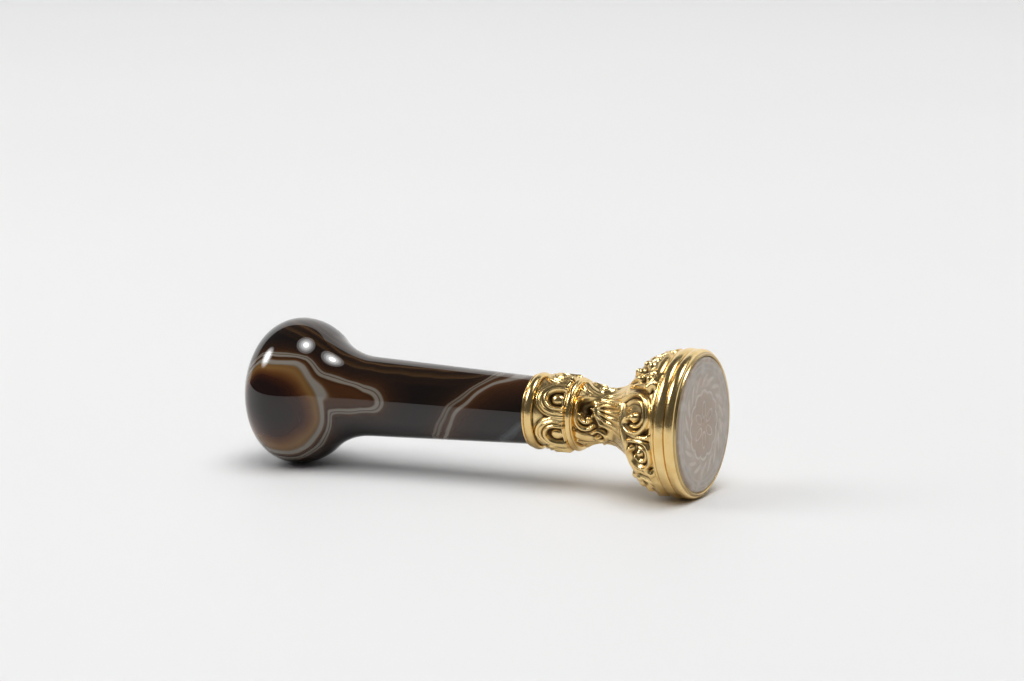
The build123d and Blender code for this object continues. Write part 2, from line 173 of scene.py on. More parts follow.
def polished_agate():
    """Banded agate, ground and polished: dark brown bands with grey and amber lines, mirror smooth."""
    material, tree, shader = new_material("polished_banded_agate", {"IOR": 1.54, "Roughness": 0.035})
    place = add_node(tree, "ShaderNodeTexCoord").outputs["Object"]
    millimetres = add_node(
        tree, "ShaderNodeVectorMath", {"operation": "SCALE"}, {0: place, "Scale": 1 / MM}
    ).outputs["Vector"]
    noise = add_node(
        tree, "ShaderNodeTexNoise", {"normalize": False},
        {"Vector": millimetres, "Scale": 0.13, "Detail": 1.0},
    ).outputs["Color"]
    wander = add_node(
        tree, "ShaderNodeVectorMath", {"operation": "SCALE"}, {0: noise, "Scale": BAND_WANDER}
    ).outputs["Vector"]
    grown = add_node(
        tree, "ShaderNodeVectorMath", {"operation": "ADD"}, {0: millimetres, 1: wander}
    ).outputs["Vector"]

    # The eye on the knob grows outwards from a flattened ball, and a smaller eye lies on the far side
    from_eye = add_node(
        tree, "ShaderNodeVectorMath", {"operation": "SUBTRACT"}, {0: grown, 1: EYE}
    ).outputs["Vector"]
    flattened = add_node(
        tree, "ShaderNodeVectorMath", {"operation": "MULTIPLY"}, {0: from_eye, 1: EYE_FLATTENING}
    ).outputs["Vector"]
    eye_reach = add_node(
        tree, "ShaderNodeVectorMath", {"operation": "LENGTH"}, {0: flattened}
    ).outputs["Value"]
    near_eye = add_node(
        tree, "ShaderNodeMath", {"operation": "SUBTRACT"}, {0: eye_reach, 1: EYE_RADIUS}
    ).outputs["Value"]
    far_reach = add_node(
        tree, "ShaderNodeVectorMath", {"operation": "DISTANCE"}, {0: grown, 1: FAR_EYE}
    ).outputs["Value"]
    far_eye = add_node(
        tree, "ShaderNodeMath", {"operation": "SUBTRACT"}, {0: far_reach, 1: FAR_EYE_RADIUS}
    ).outputs["Value"]
    eyes = add_node(
        tree, "ShaderNodeMath", {"operation": "SMOOTH_MIN"}, {0: near_eye, 1: far_eye, 2: 2.0}
    ).outputs["Value"]

    # A tapered tongue points from the eye along the shank, and only the outer bands go round it
    tongue_run = TONGUE_TIP - TONGUE_ROOT
    tongue_way = tongue_run.normalized()
    from_root = add_node(
        tree, "ShaderNodeVectorMath", {"operation": "SUBTRACT"}, {0: grown, 1: TONGUE_ROOT}
    ).outputs["Vector"]
    along = add_node(
        tree, "ShaderNodeVectorMath", {"operation": "DOT_PRODUCT"}, {0: from_root, 1: tongue_way}
    ).outputs["Value"]
    held = add_node(
        tree, "ShaderNodeClamp", None, {"Value": along, "Min": 0.0, "Max": tongue_run.length}
    ).outputs["Result"]
    rounded = add_node(
        tree, "ShaderNodeMix", {"data_type": "FLOAT"}, {"Factor": TONGUE_BLUNTNESS, 2: held, 3: along}
    ).outputs[0]
    on_way = add_node(
        tree, "ShaderNodeVectorMath", {"operation": "SCALE"}, {0: tongue_way, "Scale": rounded}
    ).outputs["Vector"]
    aside = add_node(
        tree, "ShaderNodeVectorMath", {"operation": "DISTANCE"}, {0: from_root, 1: on_way}
    ).outputs["Value"]
    taper = add_node(
        tree, "ShaderNodeMath", {"operation": "MULTIPLY_ADD"}, {0: held, 1: TONGUE_TAPER, 2: -TONGUE_HALF}
    ).outputs["Value"]
    tongue = add_node(tree, "ShaderNodeMath", {"operation": "ADD"}, {0: aside, 1: taper}).outputs["Value"]
    outer = add_node(
        tree, "ShaderNodeMath", {"operation": "SMOOTH_MAX"}, {0: tongue, 1: TONGUE_LEVEL, 2: 0.6}
    ).outputs["Value"]

    # The inner grey band runs out into the tongue in a short spur
    cone = add_node(
        tree, "ShaderNodeMath", {"operation": "MULTIPLY_ADD"}, {0: aside, 1: SPUR_SIDE, 2: -SPUR_HALF}
    ).outputs["Value"]
    point = add_node(
        tree, "ShaderNodeMath", {"operation": "MULTIPLY_ADD"}, {0: held, 1: SPUR_TAPER, 2: cone}
    ).outputs["Value"]
    spur = add_node(
        tree, "ShaderNodeMath", {"operation": "MAXIMUM"}, {0: point, 1: SPUR_LEVEL}
    ).outputs["Value"]
    flared = add_node(
        tree, "ShaderNodeMath", {"operation": "SMOOTH_MIN"}, {0: eyes, 1: spur, 2: 0.6}
    ).outputs["Value"]
    growth = add_node(
        tree, "ShaderNodeMath", {"operation": "SMOOTH_MIN"}, {0: flared, 1: outer, 2: 0.8}
    ).outputs["Value"]

    # The bands lie closer together above and to the left of the eye
    upper_left = add_node(
        tree, "ShaderNodeVectorMath", {"operation": "DOT_PRODUCT"}, {0: from_eye, 1: SQUEEZE_WAY}
    ).outputs["Value"]
    squeeze = add_node(
        tree, "ShaderNodeMapRange", None,
        {"Value": upper_left, "From Min": 0.0, "From Max": SQUEEZE_RUN, "To Min": 1.0, "To Max": SQUEEZE},
    ).outputs["Result"]
    squeezed = add_node(
        tree, "ShaderNodeMath", {"operation": "MULTIPLY"}, {0: growth, 1: squeeze}
    ).outputs["Value"]
    eye_levels = [
        (-9.0, "#160d0b"), (-4.2, "#1c0c08"), (-3.1, "#371a0c"), (-2.2, "#5b381a"), (-1.3, "#785730"),
        (-0.75, "#6d4f2a"), (-0.5, "#6f604e"), (-0.3, "#817b72"), (0.25, "#817b72"), (0.45, "#5e4630"),
        (0.6, "#4a2d14"), (0.98, "#36190a"), (1.1, "#54452f"), (1.2, "#7b746b"), (1.52, "#7b746b"),
        (1.62, "#3f2c1a"), (1.76, "#746d64"), (1.95, "#746d64"), (2.1, "#422a17"), (2.6, "#301c0e"),
        (3.4, "#24150d"), (4.2, "#1d120d"), (5.0, "#150e0c"), (8.0, "#120d0b"),
    ]
    eye_bands = banded(tree, squeezed, eye_levels)

    # The arcs across the shank are sheets that bend about a line low down beside the mount
    from_line = add_node(
        tree, "ShaderNodeVectorMath", {"operation": "SUBTRACT"}, {0: grown, 1: ARC_LINE}
    ).outputs["Vector"]
    upright = add_node(
        tree, "ShaderNodeVectorMath", {"operation": "MULTIPLY"}, {0: from_line, 1: ARC_STRETCH}
    ).outputs["Vector"]
    arc_reach = add_node(tree, "ShaderNodeVectorMath", {"operation": "LENGTH"}, {0: upright}).outputs["Value"]
    arc_levels = [
        (11.0, "#120d0b"), (13.6, "#150e0c"), (14.2, "#3a3c3c"), (14.8, "#474a4d"), (15.9, "#150e0c"),
        (19.0, "#170f0b"), (21.6, "#2a180e"), (23.5, "#3a2211"), (24.1, "#4a3020"), (24.36, "#7a736a"),
        (24.74, "#7a736a"), (24.98, "#4a2f1b"), (25.5, "#3c2513"), (25.8, "#686056"), (25.95, "#686056"),
        (26.1, "#3c2819"), (26.25, "#645a50"), (26.4, "#645a50"), (26.6, "#2e1c11"), (27.8, "#1c120c"),
        (31.0, "#120d0b"),
    ]
    arc_bands = banded(tree, arc_reach, arc_levels)
    bands = add_node(
        tree, "ShaderNodeMix", {"data_type": "RGBA", "blend_type": "LIGHTEN"},
        {"Factor": 1.0, 6: eye_bands, 7: arc_bands},
    ).outputs[2]

    # Brown streaks lie in sagging sheets along the top of the knob and shank
    split = add_node(tree, "ShaderNodeSeparateXYZ", None, {"Vector": grown})
    from_sag = add_node(
        tree, "ShaderNodeMath", {"operation": "ADD"}, {0: split.outputs["X"], 1: SAG_BACK}
    ).outputs["Value"]
    sag = add_node(tree, "ShaderNodeMath", {"operation": "POWER"}, {0: from_sag, 1: 2.0}).outputs["Value"]
    sheet = add_node(
        tree, "ShaderNodeMath", {"operation": "MULTIPLY_ADD"}, {0: sag, 1: -SAG, 2: split.outputs["Z"]}
    ).outputs["Value"]
    leaning = add_node(
        tree, "ShaderNodeMath", {"operation": "MULTIPLY_ADD"},
        {0: split.outputs["Y"], 1: SHEET_LEAN, 2: sheet},
    ).outputs["Value"]
    sheet_levels = [
        (12.0, "#120d0b"), (13.4, "#150e0b"), (13.8, "#22150d"), (14.3, "#1a100b"), (14.9, "#20140c"),
        (15.2, "#3d2b1a"), (15.7, "#33210f"), (16.2, "#1c110b"), (16.7, "#2a190d"), (17.0, "#4a3521"),
        (17.4, "#382613"), (17.7, "#1d120b"), (18.3, "#22140c"), (18.6, "#453222"), (19.0, "#2c1c11"),
        (19.6, "#1e130d"), (20.0, "#4f3d2b"), (20.4, "#2a1b11"), (22.0, "#120d0b"),
    ]
    sheets = banded(tree, leaning, sheet_levels)
    coloured = add_node(
        tree, "ShaderNodeMix", {"data_type": "RGBA", "blend_type": "LIGHTEN"},
        {"Factor": 1.0, 6: bands, 7: sheets},
    ).outputs[2]
    tree.links.new(coloured, shader.inputs["Base Color"])
    return material


knob_end = (face_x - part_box("agate_handle")[0].x) / MM
knob_radius = (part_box("agate_handle")[1].z - axis_z) / MM
mouth_back = (face_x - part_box("mouth_ring")[0].x) / MM
drum_back = (face_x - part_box("scroll_drum")[0].x) / MM
tenon_end = (face_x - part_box("agate_handle")[1].x) / MM
KNOB_DOME = 9.0
SHOULDER_RADIUS = 7.3
UNDERSIDE_RADIUS = 8.9
THROAT_RADIUS = 12.0
SHANK_TOP_RADIUS = 7.4
SHANK_FOOT_RADIUS = 5.8
TENON_RADIUS = 5.15
ARC_STEPS = 40

shoulder_ring = knob_radius - SHOULDER_RADIUS
crown_radius = (shoulder_ring**2 + KNOB_DOME**2 - SHOULDER_RADIUS**2) / (2 * (KNOB_DOME - SHOULDER_RADIUS))
crown_sweep = degrees(atan2(shoulder_ring, crown_radius - KNOB_DOME))
knob_middle = knob_end - KNOB_DOME
underside_middle = Vector((knob_middle, knob_radius - UNDERSIDE_RADIUS))
shank_foot = Vector((mouth_back, SHANK_FOOT_RADIUS))
shank_run = (Vector((knob_middle, SHANK_TOP_RADIUS)) - shank_foot).normalized()
shank_out = Vector((-shank_run.y, shank_run.x))
throat_line = shank_foot + shank_out * THROAT_RADIUS
throat_offset = underside_middle - throat_line
throat_reach = sqrt((UNDERSIDE_RADIUS + THROAT_RADIUS) ** 2 - throat_offset.dot(shank_out) ** 2)
throat_middle = throat_line + shank_run * (throat_offset.dot(shank_run) - throat_reach)
to_throat = throat_middle - underside_middle
throat_angle = degrees(atan2(to_throat.y, to_throat.x))
foot_angle = degrees(atan2(-shank_out.y, -shank_out.x)) + 360
handle_outline = (
    arc((knob_end - crown_radius, 0), crown_radius, 0, crown_sweep, ARC_STEPS)
    + arc((knob_middle, shoulder_ring), SHOULDER_RADIUS, crown_sweep, 90, ARC_STEPS)[1:]
    + arc(underside_middle, UNDERSIDE_RADIUS, 90, throat_angle, ARC_STEPS)[1:]
    + arc(throat_middle, THROAT_RADIUS, throat_angle + 180, foot_angle, ARC_STEPS)[1:]
    + [tuple(shank_foot), (drum_back, SHANK_FOOT_RADIUS)]
    + [(drum_back, TENON_RADIUS), (tenon_end, TENON_RADIUS), (tenon_end, 0)]
)
handle = turned("agate_handle_polished", handle_outline, steps=192, ring=False)
dress(handle, "agate_handle", polished_agate())


# Handle cement: shellac, melted and run in between the tenon and the drum, and round the rod in the handle.
# Set, it is a brittle red brown resin.
def shellac_cement():
    """Set shellac: a clouded red brown resin with a dull gloss."""
    material, tree, shader = new_material("shellac_cement", {"Roughness": 0.3, "IOR": 1.52})
    place = add_node(tree, "ShaderNodeTexCoord").outputs["Object"]
    cloud = add_node(
        tree, "ShaderNodeTexNoise", None, {"Vector": place, "Scale": 0.4 / MM, "Detail": 3.0}
    ).outputs["Fac"]
    tone = add_node(
        tree, "ShaderNodeValToRGB", None, {"Fac": cloud}, [(0.3, "#3a1608"), (0.7, "#6a2f12")]
    ).outputs["Color"]
    tree.links.new(tone, shader.inputs["Base Color"])
    return material


def finish_node(name, material):
    """Gives its finish to a CAD piece that stays as it is."""
    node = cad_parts[name]
    node.data.materials.clear()
    node.data.materials.append(material)


shellac = shellac_cement()
finish_node("handle_cement", shellac)


# Mouth ring: a plain rolled ring with a thin lip, soldered on the drum, where the shank goes into the mount.
# Brass, fire gilt and polished, as is the whole mount.
RECESS_DULLING = 0.2
RECESS_FULL = 0.12
OWN_SHARE = 0.3


def fire_gilding(name, roughness):
    """Fire gilding on brass: a warm yellow gloss, duller in recesses, browner there with tarnish and painted
    shade.
    """
    material, tree, shader = new_material(name, {"Metallic": 1.0})
    shade_and_grime = add_node(tree, "ShaderNodeAttribute", {"attribute_name": "shade_and_grime"}).outputs["Fac"]
    place = add_node(tree, "ShaderNodeTexCoord").outputs["Object"]
    cloud = add_node(
        tree, "ShaderNodeTexNoise", None, {"Vector": place, "Scale": 0.35 / MM, "Detail": 3.0}
    ).outputs["Fac"]
    tone = add_node(
        tree, "ShaderNodeValToRGB", None, {"Fac": cloud}, [(0.3, "#e8c582"), (0.7, "#f2d79c")]
    ).outputs["Color"]
    # Recesses are painted brown: partly tarnish, partly painted shade.
    grimed_and_shaded = add_node(
        tree, "ShaderNodeMix", {"data_type": "RGBA"}, {"Factor": shade_and_grime, 6: tone, 7: linear("#4f3a20")}
    ).outputs[2]
    tree.links.new(grimed_and_shaded, shader.inputs["Base Color"])
    dull = add_node(
        tree, "ShaderNodeMapRange", None,
        {"Value": shade_and_grime, "To Min": roughness, "To Max": roughness + RECESS_DULLING},
    ).outputs["Result"]
    tree.links.new(dull, shader.inputs["Roughness"])
    ripple = add_node(
        tree, "ShaderNodeTexNoise", None, {"Vector": place, "Scale": 0.9 / MM, "Detail": 2.0}
    ).outputs["Fac"]
    hand = add_node(
        tree, "ShaderNodeBump", None, {"Height": ripple, "Strength": 0.4, "Distance": 0.06 * MM}
    ).outputs["Normal"]
    tree.links.new(hand, shader.inputs["Normal"])
    return material


def surface(piece):
    """Places and normals of all of a piece's points, as two tables."""
    tables = []
    for values, kind in ((piece.data.vertices, "co"), (piece.data.vertex_normals, "vector")):
        table = np.zeros(len(values) * 3)
        values.foreach_get(kind, table)
        tables.append(table.reshape(-1, 3))
    return tables


def mark(piece, name, values):
    """Keeps a number from 0 to 1 for each point of a piece, which its material reads."""
    attribute = piece.data.attributes.new(name, "FLOAT", "POINT")
    attribute.data.foreach_set("value", np.clip(values, 0, 1).astype(np.float32))


def evened(piece, values, rounds):
    """Numbers kept at a piece's points, each shared in some rounds with the points next to it."""
    edges = np.zeros(len(piece.data.edges) * 2, int)
    piece.data.edges.foreach_get("vertices", edges)
    first, second = edges.reshape(-1, 2).T
    ends = np.concatenate([first, second])
    others = np.concatenate([second, first])
    number = np.bincount(ends)
    for _ in range(rounds):
        values = OWN_SHARE * values + (1 - OWN_SHARE) * np.bincount(ends, values[others]) / number
    return values


def mark_recess_shade(piece, rounds, grime_and_shade=0.0):
    """Marks painted shade and grime by how deep each point lies among its neighbours, adding given soil and
    shade.
    """
    points, normals = surface(piece)
    spread = np.column_stack([evened(piece, column, rounds) for column in points.T])
    depth = ((spread - points) * normals).sum(1) / MM
    mark(piece, "shade_and_grime", depth / RECESS_FULL + grime_and_shade)


burnished = fire_gilding("burnished_gilding", 0.21)
MOUTH_BORE = 5.85
MOUTH_ROLL = 0.55
MOUTH_LIP = 0.36
MOUTH_LIP_RISE = 0.1
mouth_radius = (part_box("mouth_ring")[1].z - axis_z) / MM
roll = (mouth_back - MOUTH_LIP - drum_back) / 2
mouth_seat = mouth_radius - MOUTH_ROLL
mouth_outline = (
    [(drum_back, MOUTH_BORE), (drum_back, mouth_seat)]
    + [
        (drum_back + roll - roll * cos(radians(turn)), mouth_seat + MOUTH_ROLL * sin(radians(turn)))
        for turn in range(15, 180, 15)
    ]
    + [(mouth_back - MOUTH_LIP, mouth_seat)]
    + arc((mouth_back - MOUTH_LIP / 2, mouth_seat + MOUTH_LIP_RISE), MOUTH_LIP / 2, 180, 0, 8)
    + [(mouth_back, MOUTH_BORE)]
)
mouth = turned("mouth_ring_rolled", mouth_outline, steps=160)
mark_recess_shade(mouth, rounds=3)
dress(mouth, "mouth_ring", burnished)


# Scroll drum: a tube of cast brass with six lobes side by side. Each is a bud inside nested horseshoe ridges,
# which open towards the band and were chased after casting.
OUTWARD = 0.15
FORWARD = 0.9


def carve(piece, relief, wear=0):
    """Raises a turned piece's skin by the millimetres that a relief gives for turn, station and radius.

    The skin is what faces outwards or to the front. Rounds of wear soften the relief's edges.
    """
    points, normals = surface(piece)
    station = (face_x - points[:, 0]) / MM
    aside = points[:, 1]
    above = points[:, 2] - axis_z
    turn = np.degrees(np.arctan2(-aside, above))
    radius = np.hypot(aside, above)
    outward = (normals[:, 1] * aside + normals[:, 2] * above) / np.maximum(radius, 0.001 * MM)
    skin = (outward > OUTWARD) | (normals[:, 0] > FORWARD)
    rise = np.where(skin, relief(turn, station, radius / MM), 0.0)
    rise = np.where(skin, evened(piece, rise, wear), 0.0)
    points += normals * (rise * MM)[:, None]
    piece.data.vertices.foreach_set("co", points.ravel())
    piece.data.update()
    return rise


def folded(turn, first, count):
    """Turns counted from the middle of the nearest of some copies that stand evenly round the axis."""
    pitch = 360 / count
    return (turn - first + pitch / 2) % pitch - pitch / 2


def ridge(gap, half_width):
    """Height, from 0 to 1, of a rounded ridge at a gap from its middle line."""
    return np.clip(1 - (gap / half_width) ** 2, 0, None)


def boss(across, along, place, half_sizes):
    """Height, from 0 to 1, of a round or oval boss."""
    wide = (across - place[0]) / half_sizes[0]
    long = (along - place[1]) / half_sizes[1]
    return np.sqrt(np.clip(1 - wide**2 - long**2, 0, None))


LOBE_COUNT = 6
LOBE_TURN = 57.0
LOBE_STRETCH = 1.15
LOBE_LIMB = 0.25
LOBE_EDGE = 3.5
LOBE_SIDE = 0.3
LOBE_RISE = 0.3
# Each ridge is a reach from the bud's middle, a half width and a height
LOBE_RIDGES = ((1.85, 0.44, 0.68), (2.62, 0.37, 0.5), (3.22, 0.3, 0.3))
BUD_STATION = 1.35
BUD_RADIUS = 1.12
BUD_HEIGHT = 0.75
BUD_SINK = 0.1
HOLLOW_RADIUS = 1.5
HOLLOW_SIDE = 0.2
HOLLOW_DEPTH = 0.6
DRUM_LIP_STATION = 0.2
DRUM_LIP_HALF = 0.3
DRUM_LIP_HEIGHT = 0.4
DRUM_BORE = 5.4
DRUM_SKIN = 5.8
DRUM_GIRTH = DRUM_SKIN + 0.7
DRUM_ROWS = 64
band_back = (face_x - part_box("scroll_drum")[1].x) / MM


def drum_relief(turn, station, radius):
    """Six lobes of three nested horseshoe ridges about a bud in a hollow, and a thin lip towards the band."""
    across = np.radians(folded(turn, LOBE_TURN, LOBE_COUNT)) * DRUM_GIRTH
    along = station - band_back - BUD_STATION
    reach = np.hypot(across, np.where(along > 0, along / LOBE_STRETCH, along * LOBE_LIMB))
    heights = [LOBE_RISE * np.clip((LOBE_EDGE - reach) / LOBE_SIDE, 0, 1)]
    for middle, half_width, height in LOBE_RIDGES:
        raised = LOBE_RISE + height * ridge(reach - middle, half_width)
        heights.append(np.where(reach > LOBE_EDGE, 0.0, raised))
    lobe = np.maximum.reduce(heights)
    bed = lobe - HOLLOW_DEPTH * np.clip((HOLLOW_RADIUS - reach) / HOLLOW_SIDE, 0, 1)
    bud = BUD_HEIGHT * boss(across, along, (0, 0), (BUD_RADIUS, BUD_RADIUS)) - BUD_SINK
    lip = DRUM_LIP_HEIGHT * ridge(station - band_back - DRUM_LIP_STATION, DRUM_LIP_HALF)
    return np.maximum.reduce([bed, bud, lip])


drum_outline = (
    [(band_back, DRUM_BORE)]
    + [(band_back + (drum_back - band_back) * row / DRUM_ROWS, DRUM_SKIN) for row in range(DRUM_ROWS + 1)]
    + [(drum_back, DRUM_BORE)]
)
drum = turned("scroll_drum_chased", drum_outline, steps=480)
carve(drum, drum_relief, wear=4)
mark_recess_shade(drum, rounds=60)
chased = fire_gilding("chased_gilding", 0.27)
dress(drum, "scroll_drum", chased)

# Stem band: a turned ring between the drum and the stem, soldered to both, with a thin fillet on each side of
# a rounded middle.
BAND_CORE = 3.25
BAND_RISE = 0.42
FILLET = 0.3
STEM_SPIGOT = 0.6
stem_back = (face_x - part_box("leaf_stem")[0].x) / MM - STEM_SPIGOT
band_radius = (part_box("stem_band")[1].z - axis_z) / MM
band_middle = (stem_back + band_back) / 2
band_half = (band_back - stem_back) / 2 - FILLET
band_seat = band_radius - BAND_RISE
band_outline = (
    [(stem_back, BAND_CORE), (stem_back, band_seat)]
    + arc((stem_back + FILLET / 2, band_seat), FILLET / 2, 180, 0, 6)[1:-1]
    + [
        (band_middle - band_half * cos(radians(turn)), band_seat + BAND_RISE * sin(radians(turn)))
        for turn in range(0, 181, 15)
    ]
    + arc((band_back - FILLET / 2, band_seat), FILLET / 2, 180, 0, 6)[1:-1]
    + [(band_back, band_seat), (band_back, BAND_CORE)]
)
band = turned("stem_band_turned", band_outline, steps=160)
mark_recess_shade(band, rounds=2)
dress(band, "stem_band", burnished)


# Leaf stem: a waisted brass casting, chased and gilt. Round its head stand three deep hollows in raised
# frames, each with a curl at one foot and a fan of flutes that opens towards the bell, with long leaves
# between them.
def smoothed(points, count=10):
    """Points along a smooth curve through a few places."""
    spots = np.array(points, float)
    spots = np.vstack([2 * spots[0] - spots[1], spots, 2 * spots[-1] - spots[-2]])
    shares = np.linspace(0, 1, count, endpoint=False)[:, None]
    runs = []
    for a, b, c, d in zip(spots, spots[1:], spots[2:], spots[3:]):
        bend = (2 * a - 5 * b + 4 * c - d) * shares**2 + (3 * b - a - 3 * c + d) * shares**3
        runs.append(b + 0.5 * ((c - a) * shares + bend))
    return np.vstack(runs + [spots[-2:-1]])


def trail(across, along, path, half_widths, heights):
    """Height of a rounded ridge along a path, with its half width and height at the start and the end."""
    best = np.zeros_like(across)
    for share, (x, y) in zip(np.linspace(0, 1, len(path)), path):
        half_width = half_widths[0] + (half_widths[1] - half_widths[0]) * share
        height = heights[0] + (heights[1] - heights[0]) * share
        best = np.maximum(best, height * ridge(np.hypot(across - x, along - y), half_width))
    return best


def unrolled(places, girth):
    """Places in mm round and along a piece, from turns in degrees and stations in mm."""
    return np.array([(radians(turn) * girth, station) for turn, station in places])


UNIT_COUNT = 3
UNIT_TURN = 72.0
STEM_LENGTH = 9.5
STEM_BORE = 1.55
STEM_GIRTH = 5.3
HOLLOW_FADE = 0.4
bell_back = stem_back - STEM_LENGTH
stem_profile = smoothed(
    [
        (bell_back, 7.1), (bell_back + 0.6, 6.5), (bell_back + 1.5, 5.8), (bell_back + 2.7, 5.05),
        (bell_back + 3.9, 4.6), (bell_back + 5.4, 4.4), (bell_back + 7.0, 4.6), (bell_back + 8.3, 4.95),
        (stem_back, 5.25),
    ],
    count=16,
)
# Each place is a turn in degrees and a station in mm, with the half widths and heights at the two ends
STEM_RIDGES = (
    # Frame of the hollow, which ends in a curl
    (
        [
            (30, 15.9), (34, 17.4), (37, 18.7), (40.7, 19.8), (45.5, 20.6), (52, 21.1), (61, 21.3),
            (74, 21.3), (86, 21.3), (96, 21.1), (103.5, 20.6), (107.5, 19.9), (107, 19.1), (102.5, 18.5),
        ],
        (0.4, 0.55), (0.35, 0.85),
    ),
    (
        [(79, 20.6), (87, 20.5), (93.5, 20.0), (95, 19.3), (90.5, 18.9), (85.5, 19.3)],
        (0.4, 0.42), (0.45, 0.75),
    ),
    # Fan of flutes that springs from a drop
    ([(66.2, 18.6), (66.4, 18.3)], (0.42, 0.42), (0.8, 0.7)),
    ([(63, 18.1), (57, 16.9), (56, 15.6), (60.3, 13.6)], (0.3, 0.42), (0.5, 0.25)),
    ([(64.7, 18.1), (66.2, 16.8), (71.2, 15.0)], (0.3, 0.42), (0.6, 0.35)),
    ([(67, 18.1), (74.2, 17.0), (81.5, 15.4)], (0.3, 0.42), (0.6, 0.4)),
    ([(69.5, 18.1), (80.6, 17.25), (91, 16.1)], (0.3, 0.45), (0.6, 0.45)),
    ([(72, 18.2), (84.6, 17.6), (98, 16.9)], (0.3, 0.45), (0.6, 0.5)),
    ([(50, 17.8), (47, 16.6), (50, 15.2), (58, 13.2)], (0.3, 0.4), (0.35, 0.2)),
    # Curled leaf at the waist
    (
        [
            (120, 18.7), (113.5, 17.8), (116.5, 16.7), (126, 16.2), (137, 16.6), (140.5, 17.5), (134, 18.1),
            (127.5, 17.5),
        ],
        (0.45, 0.5), (0.5, 0.75),
    ),
    ([(98, 14.2), (108, 14.7), (117, 15.3), (124, 15.6)], (0.8, 0.9), (0.1, 0.4)),
    # Long leaf between two frames, with two veins beside its rib, which all run out on the flare
    (
        [(121, 21.2), (131, 20.3), (140, 19.0), (146, 17.6), (150, 15.9), (152, 13.2)],
        (0.75, 0.7), (0.6, 0.12),
    ),
    (
        [(112.5, 21.3), (121, 20.6), (129, 19.7), (136, 18.2), (139, 16.0), (139, 13.2)],
        (0.4, 0.6), (0.5, 0.12),
    ),
    (
        [(133, 21.4), (141, 20.9), (148, 20.0), (156, 18.4), (162, 16.0), (165, 13.2)],
        (0.45, 0.6), (0.6, 0.12),
    ),
    # Ends of the flutes, which run out on the flare too
    ([(98, 16.9), (106, 14.8), (112, 13.2)], (0.45, 0.6), (0.3, 0.12)),
    ([(91, 16.1), (96, 14.6), (100, 13.2)], (0.45, 0.6), (0.35, 0.12)),
    ([(81.5, 15.4), (84, 14.3), (87, 13.2)], (0.42, 0.6), (0.35, 0.12)),
    ([(71.2, 15.0), (72.5, 14.0), (74, 13.2)], (0.42, 0.6), (0.33, 0.12)),
)
STEM_PATHS = [(smoothed(unrolled(places, STEM_GIRTH)), *sizes) for places, *sizes in STEM_RIDGES]
# Hollows are a turn and a station, the half sizes round and along, and the depth in mm
STEM_HOLLOWS = ((65, 19.8, 2.5, 1.6, 1.1), (113, 16.5, 0.9, 1.0, 0.35), (76, 17.0, 2.2, 1.2, 0.2))


def stem_relief(turn, station, radius):
    """Framed hollows, curls, fans of flutes and leaves."""
    heights = [np.zeros_like(turn)]
    hollow = np.zeros_like(turn)
    for shift in (-1, 0, 1):
        unit_turn = folded(turn, UNIT_TURN, UNIT_COUNT) + UNIT_TURN + shift * 360 / UNIT_COUNT
        across = np.radians(unit_turn) * STEM_GIRTH
        for hollow_turn, hollow_station, half_round, half_long, depth in STEM_HOLLOWS:
            aside = (across - radians(hollow_turn) * STEM_GIRTH) / half_round
            along = (station - hollow_station) / half_long
            hollow = np.maximum(hollow, depth * ridge(np.hypot(aside, along), 1))
        for path, half_widths, path_heights in STEM_PATHS:
            heights.append(trail(across, station, path, half_widths, path_heights))
    raised = np.maximum.reduce(heights)
    return raised - hollow * np.clip(1 - raised / HOLLOW_FADE, 0, 1)


stem_outline = [(bell_back, STEM_BORE)] + [tuple(point) for point in stem_profile] + [(stem_back, STEM_BORE)]
stem = turned("leaf_stem_chased", stem_outline, steps=400)
carve(stem, stem_relief, wear=6)
mark_recess_shade(stem, rounds=60)
dress(stem, "leaf_stem", chased)

# Scroll bell: a cast, chased and gilt dome. One group stands on it three times: a C-scroll and a smaller
# one, each of two ridges curled about a bead, and a spray of leaves with berries.
BELL_SKIRT_RADIUS = 11.75
CROWN_RADIUS = 7.2
CROWN_INSET = 2.5
CROWN_WALL = 1.2
BELL_WALL = 1.0
BELL_ROWS = 84
BELL_GIRTH = 10.4
BELL_REACH = 12.66
BELL_TURN = UNIT_TURN + 30
GROUND_SINK = 0.25
GROUND_START = 0.3
GROUND_RAMP = 0.6
GROUND_END = 0.2
GROUND_RUNOUT = 1.2
